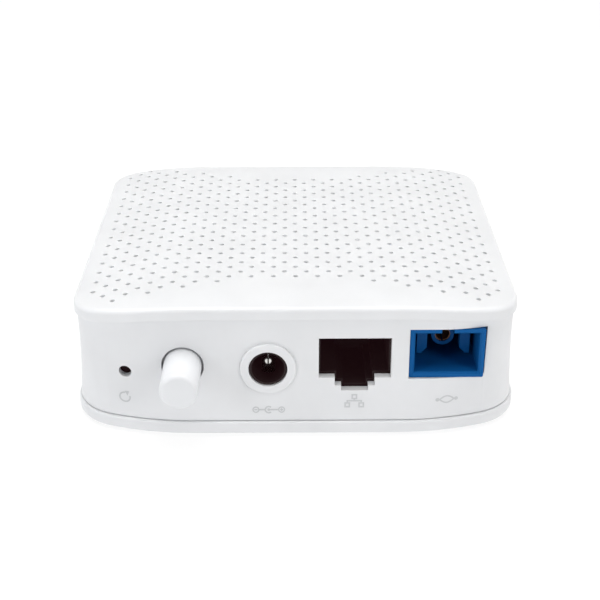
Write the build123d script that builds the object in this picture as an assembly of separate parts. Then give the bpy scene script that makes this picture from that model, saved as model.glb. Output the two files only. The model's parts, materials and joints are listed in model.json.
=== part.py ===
from build123d import *
import math
import os

# Optical network terminal, millimetres. +X right, +Y from the port wall to the far wall, +Z up.
# The model is laid out about the case's own centre line, and save() moves it to the row frame,
# whose origin is the bottom centre of the whole object, button included.

# ---------------------------------------------------------------- driving dimensions
FOOT_STAND = 0.6            # how far the rubber feet lift the base
CASE_HEIGHT = 25.4          # base underside to the flat of the cover
COVER_TOP = FOOT_STAND + CASE_HEIGHT
BUTTON_REACH = 8.0          # how far the button stands out beyond the base

# plan outlines: half width, half depth, half of the straight front, shoulder radius, corner radius
BASE_PLAN = (40.6, 35.75, 18.0, 47.5, 10.2)
WALL_FOOT_PLAN = (40.2, 35.35, 18.0, 47.1, 9.8)
WALL_WAIST_PLAN = (39.35, 34.6, 23.0, 33.9, 8.3)
WALL_HEAD_PLAN = (39.2, 34.6, 26.0, 30.0, 7.0)
COVER_PLAN = (39.45, 34.9, 26.5, 30.0, 7.0)

# crown of the cover: half of the flat and the radius of the fall, across and along
CROWN_FLAT_X = 18.0
CROWN_RADIUS_X = 150.0
CROWN_FLAT_Y = 27.5
CROWN_RADIUS_Y = 46.0

BAND_HEIGHT = 2.4
SEAM_GAP = 0.08
RIM_HEIGHT = 2.15
RIM_GAP = 0.14
WALL = 1.5
FLOOR = 1.8
COVER_PLATE = 1.3

BAND_TOP = FOOT_STAND + BAND_HEIGHT
WALL_FOOT = BAND_TOP + SEAM_GAP
WAIST_Z = 14.0
FLOOR_TOP = FOOT_STAND + FLOOR
WALL_Y = -34.6              # outer face of the port wall at the waist
INNER_WALL_Y = WALL_Y + WALL

# perforation of the cover: a staggered square lattice, its corners filled outside two circles
HOLE_PITCH = 4.0
HOLE_RADIUS = 0.45
HOLE_DEPTH = 0.6
FIELD_CENTRE_Y = 1.0
FIELD_HALF_WIDTH = 36.0
FIELD_HALF_DEPTH = 24.5
FIELD_BOW = 0.0092          # growth of the field's half depth with the square of x
FIELD_END = 32.0
FIELD_CORNER = 67.0         # |x| + |y| past this is left plain

# circuit board, its outline follows the wall
BOARD_TOP = FOOT_STAND + 6.0
BOARD_THICKNESS = 1.6
BOARD_BOTTOM = BOARD_TOP - BOARD_THICKNESS
BOARD_INSET = 3.4

# case screws stand along the sides, board screws and feet nearer the corners
CASE_SCREWS = [(x, y) for x in (-34.0, 34.0) for y in (-8.0, 14.0)]
BOARD_SCREWS = [(-27.0, -19.0), (-27.0, 26.0), (27.0, 26.0)]
FEET = [(x, y) for x in (-30.5, 30.5) for y in (-26.0, 26.0)]
FOOT_RADIUS = 4.0
CASE_SCREW_RADIUS = 1.3
BOARD_SCREW_RADIUS = 1.0
SCREW_PLAY = 0.02

# ports: centre x and z of each
BUTTON_X, BUTTON_Z = -20.0, 14.0
BUTTON_RADIUS = 3.35
BUTTON_HOLE_RADIUS = 3.75
BUTTON_TRAVEL = 2.8
RESET_X, RESET_Z = -30.3, 12.55
RESET_HOLE_RADIUS = 1.15
POWER_X, POWER_Z = -4.95, 13.55
POWER_HOLE_RADIUS = 3.45
POWER_BOSS_RADIUS = 4.95
POWER_BOSS_HEIGHT = 0.5
LAN_X = 10.42
LAN_TOP, LAN_STEP, LAN_TAB_STEP, LAN_BOTTOM = 19.4, 11.6, 10.05, 9.05
LAN_WIDTH, LAN_TAB_WIDE, LAN_TAB_NARROW = 12.8, 7.1, 4.8
PON_X, PON_Z = 26.75, 16.15
PON_WIDTH, PON_HEIGHT = 13.65, 9.8


# ---------------------------------------------------------------- helpers
def box(x, y, z):
    """A box from (low, high) pairs."""
    size = [pair[1] - pair[0] for pair in (x, y, z)]
    middle = [(pair[1] + pair[0]) / 2 for pair in (x, y, z)]
    return Pos(*middle) * Box(*size)


def rod_z(x, y, z_low, z_high, radius):
    """An upright cylinder."""
    return Pos(x, y, (z_low + z_high) / 2) * Cylinder(radius, z_high - z_low)


def rod_y(x, z, y_low, y_high, radius):
    """A cylinder along Y."""
    return Pos(x, (y_low + y_high) / 2, z) * Rot(90, 0, 0) * Cylinder(radius, y_high - y_low)


def rod_x(y, z, x_low, x_high, radius):
    """A cylinder along X."""
    return Pos((x_low + x_high) / 2, y, z) * Rot(0, 90, 0) * Cylinder(radius, x_high - x_low)


def fuse(shapes):
    """All shapes joined into one."""
    shapes = list(shapes)
    return shapes[0].fuse(*shapes[1:]) if len(shapes) > 1 else shapes[0]


def quarter_points(plan):
    """Centres, radii and turning angle of the two arcs that round the front right corner."""
    half_w, half_d, flat, shoulder, corner = plan
    sine = (half_w - corner - flat) / (shoulder - corner)
    turn = math.degrees(math.asin(sine))
    shoulder_centre = (flat, -half_d + shoulder)
    reach = shoulder - corner
    corner_centre = (flat + reach * sine, shoulder_centre[1] - reach * math.cos(math.radians(turn)))
    return shoulder_centre, corner_centre, turn


def outline(plan, z=0.0, inset=0.0):
    """Face of a plan outline at height z: straights, shoulder arcs and corner arcs, all tangent."""
    half_w, half_d, flat, shoulder, corner = plan
    plan = (half_w - inset, half_d - inset, flat, shoulder - inset, corner - inset)
    half_w, half_d, flat, shoulder, corner = plan
    shoulder_centre, corner_centre, turn = quarter_points(plan)
    front = Line((0, -half_d), (flat, -half_d))
    shoulder_arc = CenterArc(shoulder_centre, shoulder, -90, turn)
    corner_arc = CenterArc(corner_centre, corner, -90 + turn, 90 - turn)
    side = Line((half_w, corner_centre[1]), (half_w, 0))
    quarter = [front, shoulder_arc, corner_arc, side]
    half = quarter + [mirror(edge, about=Plane.XZ) for edge in quarter]
    edges = half + [mirror(edge, about=Plane.YZ) for edge in half]
    return Pos(0, 0, z) * make_face(edges)


def prism(plan, z_low, z_high, inset=0.0):
    """A plan outline extruded between two heights."""
    return extrude(outline(plan, z_low, inset), z_high - z_low)


def crown_block(top):
    """A wide block whose upper face is the cover's crown, with its flat at height top."""
    reach = 45.0
    depth = 30.0
    shallow = 8.0
    fall = CROWN_RADIUS_X - math.sqrt(CROWN_RADIUS_X**2 - (reach - CROWN_FLAT_X) ** 2)
    sweep = math.degrees(math.asin((reach - CROWN_FLAT_X) / CROWN_RADIUS_X))
    profile = make_face(
        [
            Line((-CROWN_FLAT_X, 0), (CROWN_FLAT_X, 0)),
            CenterArc((CROWN_FLAT_X, -CROWN_RADIUS_X), CROWN_RADIUS_X, 90 - sweep, sweep),
            Line((reach, -fall), (reach, -depth)),
            Line((reach, -depth), (-reach, -depth)),
            Line((-reach, -depth), (-reach, -fall)),
            CenterArc((-CROWN_FLAT_X, -CROWN_RADIUS_X), CROWN_RADIUS_X, 90, sweep),
        ]
    )
    middle = extrude(Plane((0, CROWN_FLAT_Y, top), (1, 0, 0), (0, -1, 0)) * profile, 2 * CROWN_FLAT_Y)
    end_turn = 14.0
    blocks = [middle]
    for sign in (-1, 1):
        face = Plane((0, sign * CROWN_FLAT_Y, top), (1, 0, 0), (0, -1, 0)) * profile
        hinge = Axis((0, sign * CROWN_FLAT_Y, top - CROWN_RADIUS_Y), (-sign, 0, 0))
        blocks.append(revolve(face, hinge, end_turn))
    blocks.append(box((-reach, reach), (-reach, reach), (top - depth, top - shallow)))
    return fuse(blocks)


def save(name, shape):
    """Moves one node to the row frame and writes it."""
    os.makedirs("parts", exist_ok=True)
    solids = [Pos(0, BUTTON_REACH / 2, 0) * solid for solid in shape.solids()]
    node = solids[0] if len(solids) == 1 else Compound(children=solids)
    node.label = name
    export_step(node, f"parts/{name}.step")


def upright(face):
    """True for the faces that stand vertically."""
    return abs(face.normal_at().Z) < 0.05


def crown_fall(x, y):
    """How far the cover's surface lies below its flat at a point."""
    past_x = max(abs(x) - CROWN_FLAT_X, 0.0)
    past_y = max(abs(y) - CROWN_FLAT_Y, 0.0)
    fall_x = CROWN_RADIUS_X - math.sqrt(CROWN_RADIUS_X**2 - past_x**2)
    fall_y = CROWN_RADIUS_Y - math.sqrt(CROWN_RADIUS_Y**2 - past_y**2)
    return fall_x + fall_y


def field_points():
    """Centres of the dimples in the cover."""
    half = HOLE_PITCH / 2
    steps = int(FIELD_HALF_WIDTH / half)
    points = []
    for i in range(-steps, steps + 1):
        for j in range(-steps, steps + 1):
            x, y = i * half, j * half
            staggered = (i + j) % 2 == 0
            inside = abs(y) <= min(FIELD_HALF_DEPTH + FIELD_BOW * x * x, FIELD_END)
            if staggered and inside and abs(x) + abs(y) <= FIELD_CORNER:
                points.append((x, y + FIELD_CENTRE_Y))
    return points


# ---------------------------------------------------------------- case
HOOKS = [(-1, 0, 0), (1, 0, 0), (0, 1, -18.0), (0, 1, 18.0)]    # outward direction, place along the wall
HOOK_WIDTH = 6.0
HOOK_FOOT = 17.2
BARB_TOP = 18.6
BARB = 0.6
SKIRT_INSET = 1.95
SKIRT_THICK = 1.0
SKIRT_DEPTH = 3.6


def hook_box(hook, near, far, half_width, z):
    """A box at a hook's place, from near to far along its outward direction."""
    out_x, out_y, along = hook
    if out_x:
        return box(sorted((out_x * near, out_x * far)), (along - half_width, along + half_width), z)
    return box((along - half_width, along + half_width), sorted((out_y * near, out_y * far)), z)


def hook_face(hook):
    """Distance from the centre line to the outer face of the cover's skirt at a hook."""
    return WALL_WAIST_PLAN[0 if hook[0] else 1] - SKIRT_INSET


def top_cover():
    """Crowned plate with a rim, dimples, a locating skirt and four snap hooks."""
    edge_radius = 0.8
    rim_thick = 1.8
    base_z = COVER_TOP - 12.0
    plate = prism(COVER_PLAN, base_z, COVER_TOP + 1) & crown_block(COVER_TOP)
    plate -= crown_block(COVER_TOP - RIM_HEIGHT)
    plate = fillet([face.edges().sort_by(Axis.Z)[-1] for face in plate.faces() if upright(face)], edge_radius)
    plate -= prism(COVER_PLAN, base_z, COVER_TOP, rim_thick) & crown_block(COVER_TOP - COVER_PLATE)
    skirt = prism(WALL_WAIST_PLAN, base_z, COVER_TOP, SKIRT_INSET)
    skirt -= prism(WALL_WAIST_PLAN, base_z, COVER_TOP, SKIRT_INSET + SKIRT_THICK)
    skirt = (skirt & crown_block(COVER_TOP - COVER_PLATE)) - crown_block(COVER_TOP - SKIRT_DEPTH)
    pieces = [plate, skirt]
    for hook in HOOKS:
        face = hook_face(hook)
        inner, half = face - SKIRT_THICK, HOOK_WIDTH / 2
        pieces.append(hook_box(hook, inner, face, half, (HOOK_FOOT, COVER_TOP - RIM_HEIGHT)))
        pieces.append(hook_box(hook, inner, face + BARB, half, (HOOK_FOOT, BARB_TOP)))
    cover = fuse(pieces)
    clear = 0.5
    dimples = []
    for x, y in field_points():
        surface = COVER_TOP - crown_fall(x, y)
        dimples.append(rod_z(x, y, surface - HOLE_DEPTH, surface + clear, HOLE_RADIUS))
    return cover.cut(*dimples)


def wall_loft(inset):
    """Solid inside the waisted wall, its faces moved inwards by inset."""
    return loft(
        [
            outline(WALL_FOOT_PLAN, WALL_FOOT, inset),
            outline(WALL_WAIST_PLAN, WAIST_Z, inset),
            outline(WALL_HEAD_PLAN, COVER_TOP, inset),
        ]
    )


def case_boss(x, y):
    """Screw boss tied to the side wall by a web."""
    radius = 3.0
    top = 13.0
    wall_side = 38.3
    web = 1.0
    out = math.copysign(1, x)
    boss = rod_z(x, y, BOARD_BOTTOM, top, radius)
    return boss + box(sorted((x, out * wall_side)), (y - web, y + web), (BOARD_BOTTOM, top))


LED_XS = [-12.0, -4.0, 4.0, 12.0]
LED_Y = 29.6
LED_TOP = BOARD_TOP + 0.8
WINDOW_RADIUS = 1.1
WINDOW_Z = 14.2


def housing():
    """The four walls in one ring: port openings, screw bosses, hook windows and indicator windows."""
    through = (WALL_Y - 3, WALL_Y + 5)
    block = wall_loft(0)
    foot_radius = 0.25
    foot = [edge for edge in block.edges() if abs(edge.position_at(0.5).Z - WALL_FOOT) < 0.01]
    ring = fillet(foot, foot_radius) - wall_loft(WALL)
    ring &= crown_block(COVER_TOP - RIM_HEIGHT - RIM_GAP)
    ring = fuse([ring] + [case_boss(x, y) for x, y in CASE_SCREWS])
    boss_front = WALL_Y - POWER_BOSS_HEIGHT
    power_boss = rod_y(POWER_X, POWER_Z, boss_front, WALL_Y + WALL / 2, POWER_BOSS_RADIUS)
    rim = [edge for edge in power_boss.edges() if abs(edge.center().Y - boss_front) < 0.01]
    ring += fillet(rim, 0.2)
    cuts = [
        rod_y(BUTTON_X, BUTTON_Z, *through, BUTTON_HOLE_RADIUS),
        rod_y(RESET_X, RESET_Z, *through, RESET_HOLE_RADIUS),
        rod_y(POWER_X, POWER_Z, *through, POWER_HOLE_RADIUS),
        box((LAN_X - LAN_WIDTH / 2, LAN_X + LAN_WIDTH / 2), through, (LAN_STEP, LAN_TOP)),
        box((LAN_X - LAN_TAB_WIDE / 2, LAN_X + LAN_TAB_WIDE / 2), through, (LAN_TAB_STEP, LAN_TOP)),
        box((LAN_X - LAN_TAB_NARROW / 2, LAN_X + LAN_TAB_NARROW / 2), through, (LAN_BOTTOM, LAN_TOP)),
        box(
            (PON_X - PON_WIDTH / 2, PON_X + PON_WIDTH / 2),
            through,
            (PON_Z - PON_HEIGHT / 2, PON_Z + PON_HEIGHT / 2),
        ),
    ]
    # the pin hole flares a little at its mouth
    flare = 0.45
    cuts.append(
        Pos(RESET_X, WALL_Y + flare / 2, RESET_Z)
        * Rot(90, 0, 0)
        * Cone(RESET_HOLE_RADIUS, RESET_HOLE_RADIUS + flare, flare)
    )
    pilot_top = 12.0
    for x, y in CASE_SCREWS:
        cuts.append(rod_z(x, y, BOARD_BOTTOM - 1, pilot_top, CASE_SCREW_RADIUS + SCREW_PLAY))
    window_play = 0.25
    for hook in HOOKS:
        face = hook_face(hook)
        height = (HOOK_FOOT - window_play, BARB_TOP + window_play)
        cuts.append(hook_box(hook, face - 1, face + BARB + window_play, HOOK_WIDTH / 2 + window_play, height))
    for x in LED_XS:
        cuts.append(rod_y(x, WINDOW_Z, -through[1], -through[0], WINDOW_RADIUS))
    return ring.cut(*cuts)


def slot_z(x, y, length, width, z_low, z_high):
    """A round-ended slot along Y, standing from z_low to z_high."""
    return Pos(x, y, z_low) * extrude(Rot(0, 0, 90) * SlotOverall(length, width), z_high - z_low)


LABEL_SIZE = (34.0, 20.0)
LABEL_Y = -8.0
KEYHOLE_X = 22.0
KEYHOLE_Y = 4.0


def base():
    """Bottom tray with the rounded band, locating lip, posts, vents, keyholes and foot pockets."""
    lip_top = 4.8
    lip_inset = 1.95
    lip_thick = 1.1
    hollow_inset = 3.4
    tray = prism(BASE_PLAN, FOOT_STAND, BAND_TOP)
    under = [edge for edge in tray.edges() if abs(edge.center().Z - FOOT_STAND) < 0.01]
    tray = fillet(under, 0.4)
    upper = [edge for edge in tray.edges() if abs(edge.center().Z - BAND_TOP) < 0.01]
    tray = fillet(upper, 0.35)
    tray -= prism(WALL_FOOT_PLAN, FLOOR_TOP, BAND_TOP + 1, hollow_inset)
    lip = prism(WALL_FOOT_PLAN, FLOOR_TOP - 0.5, lip_top, lip_inset)
    lip -= prism(WALL_FOOT_PLAN, FLOOR_TOP - 1, lip_top + 1, lip_inset + lip_thick)
    post_radius = 3.2
    board_post_radius = 2.4
    pieces = [tray, lip]
    pieces += [rod_z(x, y, FLOOR_TOP - 0.5, BOARD_BOTTOM, post_radius) for x, y in CASE_SCREWS]
    rests = BOARD_SCREWS + [(27.0, -20.0)]
    pieces += [rod_z(x, y, FLOOR_TOP - 0.5, BOARD_BOTTOM, board_post_radius) for x, y in rests]
    shell = fuse(pieces)
    cuts = []
    for x, y in CASE_SCREWS:
        cuts.append(rod_z(x, y, 0, BOARD_BOTTOM + 1, CASE_SCREW_RADIUS + 0.15))
        cuts.append(rod_z(x, y, 0, FOOT_STAND + 2.0, 2.8))
    for x, y in BOARD_SCREWS:
        cuts.append(rod_z(x, y, FLOOR_TOP, BOARD_BOTTOM + 1, BOARD_SCREW_RADIUS + SCREW_PLAY))
    for x, y in FEET:
        cuts.append(rod_z(x, y, 0, FOOT_STAND + 0.6, FOOT_RADIUS + 0.1))
    label_half_w, label_half_d = LABEL_SIZE[0] / 2, LABEL_SIZE[1] / 2
    label_y = (LABEL_Y - label_half_d, LABEL_Y + label_half_d)
    cuts.append(box((-label_half_w, label_half_w), label_y, (0, FOOT_STAND + 0.2)))
    vent_pitch = 3.0
    vent_count = 11
    for i in range(vent_count):
        x = (i - (vent_count - 1) / 2) * vent_pitch
        cuts.append(slot_z(x, 18.0, 14.0, 1.4, 0, BAND_TOP + 1))
    for x in (-KEYHOLE_X, KEYHOLE_X):
        cuts.append(rod_z(x, KEYHOLE_Y - 2.5, 0, BAND_TOP + 1, 3.7))
        cuts.append(slot_z(x, KEYHOLE_Y + 1.0, 9.0, 3.8, 0, BAND_TOP + 1))
    return shell.cut(*cuts)


def pan_screw(radius, length, head_radius, head_height):
    """Screw along -Z with its head's underside at the origin and a cross recess in the head."""
    head = Pos(0, 0, head_height / 2) * Cylinder(head_radius, head_height)
    top = [edge for edge in head.edges() if abs(edge.center().Z - head_height) < 0.01]
    head = fillet(top, head_height * 0.4)
    tip = radius * 0.5
    shank = rod_z(0, 0, tip - length, 0, radius)
    point = Pos(0, 0, -length + tip / 2) * Cone(radius - tip, radius, tip)
    recess_half, recess_width, recess_floor = head_radius * 0.55, head_radius * 0.13, head_height * 0.45
    recess = box((-recess_half, recess_half), (-recess_width, recess_width), (recess_floor, head_height + 1))
    return head + shank + point - recess - Rot(0, 0, 90) * recess


def case_screws():
    """Four screws driven up through the base into the housing's bosses."""
    head_seat = FOOT_STAND + 2.0
    screw = Rot(180, 0, 0) * pan_screw(CASE_SCREW_RADIUS, 9.0, 2.5, 1.5)
    return Compound([Pos(x, y, head_seat) * screw for x, y in CASE_SCREWS])


def board_screws():
    """Three screws that hold the board to the base."""
    screw = pan_screw(BOARD_SCREW_RADIUS, 4.0, 1.9, 1.2)
    return Compound([Pos(x, y, BOARD_TOP) * screw for x, y in BOARD_SCREWS])


def rubber_feet():
    """Four glued rubber feet with a soft lower edge."""
    foot = rod_z(0, 0, 0, FOOT_STAND + 0.6, FOOT_RADIUS)
    foot = fillet([edge for edge in foot.edges() if abs(edge.center().Z) < 0.01], 0.25)
    return Compound([Pos(x, y, 0) * foot for x, y in FEET])


def rating_label():
    """Blank label sheet in its shallow pocket."""
    play = 0.3
    half_w, half_d = LABEL_SIZE[0] / 2 - play, LABEL_SIZE[1] / 2 - play
    return box((-half_w, half_w), (LABEL_Y - half_d, LABEL_Y + half_d), (FOOT_STAND + 0.08, FOOT_STAND + 0.2))


# ---------------------------------------------------------------- power button and its latching switch
CAP_FRONT = -BASE_PLAN[1] - BUTTON_REACH
CAP_BACK = -29.5
COLLAR = (INNER_WALL_Y + 0.3, INNER_WALL_Y + 1.3)
SWITCH_FRONT, SWITCH_BACK = -26.0, -12.0
SWITCH_HALF_WIDTH = 4.3
SWITCH_TOP = 17.9
CHAMBER = (-24.8, -13.2)
CHAMBER_HALF = 2.4
STEM_HALF = 1.25
STEM_FRONT = -30.8
PISTON = (-24.4, -21.0)
PISTON_HALF = 2.15
GUIDE_ROOM = 1.4            # left behind the guide pin when the button is fully in


def square_bar(x, z, y, half):
    """A square bar along Y."""
    return box((x - half, x + half), y, (z - half, z + half))


def power_button_cap():
    """Round push cap with a retaining collar and a square socket for the switch stem."""
    cap = rod_y(BUTTON_X, BUTTON_Z, CAP_FRONT, CAP_BACK, BUTTON_RADIUS)
    front = [edge for edge in cap.edges() if abs(edge.center().Y - CAP_FRONT) < 0.01]
    cap = fillet(front, 0.8)
    cap += rod_y(BUTTON_X, BUTTON_Z, *COLLAR, 4.3)
    socket_depth = 1.6
    return cap - square_bar(BUTTON_X, BUTTON_Z, (CAP_BACK - socket_depth, CAP_BACK + 1), STEM_HALF + 0.01)


def power_switch_plunger():
    """Square stem, piston and rear guide pin of the switch."""
    stem = square_bar(BUTTON_X, BUTTON_Z, (STEM_FRONT, PISTON[1]), STEM_HALF)
    piston = square_bar(BUTTON_X, BUTTON_Z, PISTON, PISTON_HALF)
    guide_end = CHAMBER[1] - BUTTON_TRAVEL - GUIDE_ROOM
    return stem + piston + rod_y(BUTTON_X, BUTTON_Z, PISTON[1], guide_end, 0.8)


def power_switch_body():
    """Switch case standing on the board, hollow for the piston and its spring."""
    half = SWITCH_HALF_WIDTH
    body = box((BUTTON_X - half, BUTTON_X + half), (SWITCH_FRONT, SWITCH_BACK), (BOARD_TOP, SWITCH_TOP))
    body = fillet(body.edges().filter_by(Axis.Y), 0.4)
    body -= square_bar(BUTTON_X, BUTTON_Z, CHAMBER, CHAMBER_HALF)
    return body - square_bar(BUTTON_X, BUTTON_Z, (SWITCH_FRONT - 1, CHAMBER[0] + 1), STEM_HALF + 0.15)


def power_switch_spring():
    """Compression spring between the piston and the back of the chamber."""
    wire = 0.2
    radius = 1.5
    turns = 6
    seat = 0.12
    length = CHAMBER[1] - PISTON[1] - 2 * (wire + seat)
    path = Helix(length / turns, length, radius)
    section_plane = Plane(origin=path @ 0, z_dir=path % 0)
    coil = sweep(section_plane * Circle(wire), path, is_frenet=True)
    return Pos(BUTTON_X, PISTON[1] + wire + seat, BUTTON_Z) * Rot(-90, 0, 0) * coil


SWITCH_PINS = [(BUTTON_X + dx, y) for dx in (-2.5, 2.5) for y in (-23.5, -19.0, -14.5)]
PIN_REACH = 1.2             # how far a solder pin stands out below the board
PIN_PLAY = 0.1


def solder_pins(points, half_x, half_y):
    """Rectangular pins from a part's foot down through the board."""
    low = BOARD_BOTTOM - PIN_REACH
    return [box((x - half_x, x + half_x), (y - half_y, y + half_y), (low, BOARD_TOP)) for x, y in points]


def power_switch_pins():
    """Six solder pins of the power switch."""
    return Compound(solder_pins(SWITCH_PINS, 0.4, 0.15))


# ---------------------------------------------------------------- reset switch
RESET_FRONT, RESET_BACK = -29.6, -26.0
RESET_HALF = 3.0
RESET_BASE_Z = RESET_Z - RESET_HALF
RESET_TRAVEL = 0.3
RESET_BORE = 1.75
RESET_FLOOR = -28.0         # bottom of the plunger's bore
RESET_PINS = [(RESET_X + dx, y) for dx in (-2.25, 2.25) for y in (-28.6, -26.8)]


def reset_switch_body():
    """Side-pushed switch body on its stand."""
    sides = (RESET_X - RESET_HALF, RESET_X + RESET_HALF)
    body = box(sides, (RESET_FRONT, RESET_BACK), (BOARD_TOP, RESET_Z + RESET_HALF))
    leg = 1.0
    gap = box((sides[0] + leg, sides[1] - leg), (RESET_FRONT - 1, RESET_BACK + 1), (0, RESET_BASE_Z - 0.6))
    return body - gap - rod_y(RESET_X, RESET_Z, RESET_FRONT - 1, RESET_FLOOR, RESET_BORE)


def reset_switch_cover():
    """Pressed metal plate over the front of the reset switch."""
    thick = 0.25
    half = RESET_HALF - 0.1
    sides, height = (RESET_X - half, RESET_X + half), (RESET_Z - half, RESET_Z + half)
    plate = box(sides, (RESET_FRONT - thick, RESET_FRONT), height)
    return plate - rod_y(RESET_X, RESET_Z, RESET_FRONT - 1, RESET_FRONT + 1, RESET_BORE)


def reset_plunger():
    """Round plunger behind the pin hole."""
    tip = INNER_WALL_Y + 1.6
    back = RESET_FLOOR - RESET_TRAVEL - 0.35
    plunger = rod_y(RESET_X, RESET_Z, tip, back, 1.65)
    front = [edge for edge in plunger.edges() if abs(edge.center().Y - tip) < 0.01]
    return fillet(front, 0.3)


def reset_dome():
    """Snap dome at the bottom of the plunger's bore."""
    rise = 0.2
    span = 1.6
    radius = (span**2 + rise**2) / (2 * rise)
    ball = Pos(RESET_X, RESET_FLOOR - rise + radius, RESET_Z) * Sphere(radius)
    cap = ball & rod_y(RESET_X, RESET_Z, RESET_FLOOR - rise - 1, RESET_FLOOR, span)
    return cap - Pos(0, 0.08, 0) * ball


def reset_switch_pins():
    """Four solder pins of the reset switch."""
    return Compound(solder_pins(RESET_PINS, 0.3, 0.15))


# ---------------------------------------------------------------- power jack
JACK_FRONT, JACK_BACK = INNER_WALL_Y + 0.1, -19.0
JACK_NOSE = WALL_Y - 0.1
JACK_BORE = 2.95
JACK_FLOOR = -23.5
JACK_PIN_RADIUS = 0.95
JACK_PIN_TIP = -32.3
JACK_TOP = POWER_Z + 4.6
JACK_LUGS = [(POWER_X, -19.9), (POWER_X, -24.5), (POWER_X - 3.6, -22.2)]


def power_jack_body():
    """Barrel jack: square rear body, round nose in the wall, blind bore."""
    half = 4.5
    body = box((POWER_X - half, POWER_X + half), (JACK_FRONT, JACK_BACK), (BOARD_TOP, JACK_TOP))
    body = fillet(body.edges().filter_by(Axis.Y), 0.5)
    nose = rod_y(POWER_X, POWER_Z, JACK_NOSE, JACK_FRONT + 1, POWER_HOLE_RADIUS - 0.1)
    lip = [edge for edge in nose.edges() if abs(edge.center().Y - JACK_NOSE) < 0.01]
    body += fillet(lip, 0.12)
    body -= rod_y(POWER_X, POWER_Z, JACK_NOSE - 1, JACK_FLOOR, JACK_BORE)
    body -= rod_y(POWER_X, POWER_Z, JACK_FLOOR - 1, JACK_BACK + 1, JACK_PIN_RADIUS + 0.01)
    groove_z = (POWER_Z - JACK_BORE - 0.5, POWER_Z - 2.0)
    groove = box((POWER_X - 1.35, POWER_X + 1.35), (-31.0, JACK_FLOOR), groove_z)
    return body - groove


def power_jack_pin():
    """Centre pin with a domed, split tip."""
    pin = rod_y(POWER_X, POWER_Z, JACK_PIN_TIP, JACK_BACK, JACK_PIN_RADIUS)
    tip = [edge for edge in pin.edges() if abs(edge.center().Y - JACK_PIN_TIP) < 0.01]
    pin = fillet(tip, 0.6)
    slit = 0.12
    split_y = (JACK_PIN_TIP - 1, JACK_PIN_TIP + 3.0)
    return pin - box((POWER_X - slit, POWER_X + slit), split_y, (POWER_Z - 2, POWER_Z + 2))


def power_jack_spring():
    """Leaf contact in the floor of the bore."""
    floor = POWER_Z - JACK_BORE - 0.5
    leaf = box((POWER_X - 1.25, POWER_X + 1.25), (-30.9, JACK_FLOOR - 0.05), (floor, floor + 0.3))
    hump = rod_x(-28.0, floor + 0.05, POWER_X - 1.0, POWER_X + 1.0, 0.45)
    return leaf + (hump & box((POWER_X - 2, POWER_X + 2), (-29, -27), (floor, floor + 1)))


def power_jack_lugs():
    """Three solder lugs of the power jack."""
    return Compound(solder_pins(JACK_LUGS, 0.9, 0.25))


# ---------------------------------------------------------------- LAN jack
LAN_FRONT, LAN_BACK = INNER_WALL_Y + 0.25, -12.0
LAN_HALF = 7.9
LAN_BODY_TOP = 20.4
LAN_CAVITY_BACK = -20.0
LAN_LIP = 0.3               # how much smaller the jack's mouth is than the wall's opening
CONTACT_COUNT = 8
CONTACT_PITCH = 1.02
CONTACT_RADIUS = 0.2
CONTACT_SLOT = (18.9, 19.8)
LAN_XS = [LAN_X + (i - (CONTACT_COUNT - 1) / 2) * CONTACT_PITCH for i in range(CONTACT_COUNT)]


def lan_jack_housing():
    """Jack body with the stepped plug cavity, tab side down, and the contact channel above it."""
    body = box((LAN_X - LAN_HALF, LAN_X + LAN_HALF), (LAN_FRONT, LAN_BACK), (BOARD_TOP, LAN_BODY_TOP))
    cavity_y = (LAN_FRONT - 1, LAN_CAVITY_BACK)
    steps = [
        (LAN_WIDTH, LAN_STEP),
        (LAN_TAB_WIDE, LAN_TAB_STEP),
        (LAN_TAB_NARROW, LAN_BOTTOM),
    ]
    for width, low in steps:
        half = width / 2 - LAN_LIP
        body -= box((LAN_X - half, LAN_X + half), cavity_y, (low + LAN_LIP, LAN_TOP - LAN_LIP))
    channel_half = CONTACT_COUNT * CONTACT_PITCH / 2
    channel_back = -14.5
    body -= box((LAN_X - channel_half, LAN_X + channel_half), (-31.6, channel_back), CONTACT_SLOT)
    tail_slot = (channel_back - 0.9, channel_back)
    tail_z = (BOARD_TOP - 1, CONTACT_SLOT[1])
    return body - box((LAN_X - channel_half, LAN_X + channel_half), tail_slot, tail_z)


def rod_between(start, end, radius):
    """A round rod from one point to another."""
    start, end = Vector(*start), Vector(*end)
    plane = Plane(origin=start, z_dir=end - start)
    return extrude(plane * Circle(radius), (end - start).length)


def bent_wire(points, radius):
    """Straight rods with ball joints at the bends."""
    rods = [rod_between(a, b, radius) for a, b in zip(points, points[1:])]
    balls = [Pos(*point) * Sphere(radius) for point in points[1:-1]]
    return fuse(rods + balls)


def lan_jack_contacts():
    """Eight spring contacts: free end in the cavity, bend at the mouth, run back, tail to the board."""
    run_z = (CONTACT_SLOT[0] + CONTACT_SLOT[1]) / 2 + 0.1
    tail_y = -14.95
    wires = []
    for x in LAN_XS:
        route = [
            (x, -22.0, 15.6),
            (x, -31.0, run_z),
            (x, tail_y, run_z),
            (x, tail_y, BOARD_BOTTOM - PIN_REACH),
        ]
        wires.append(bent_wire(route, CONTACT_RADIUS))
    return Compound(wires)


LAN_PEGS = [(LAN_X + dx, -24.0) for dx in (-5.7, 5.7)]
PEG_RADIUS = 1.5


def lan_jack_pegs():
    """Two locating pegs under the LAN jack."""
    return Compound([rod_z(x, y, BOARD_BOTTOM - 0.6, BOARD_TOP, PEG_RADIUS) for x, y in LAN_PEGS])


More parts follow.
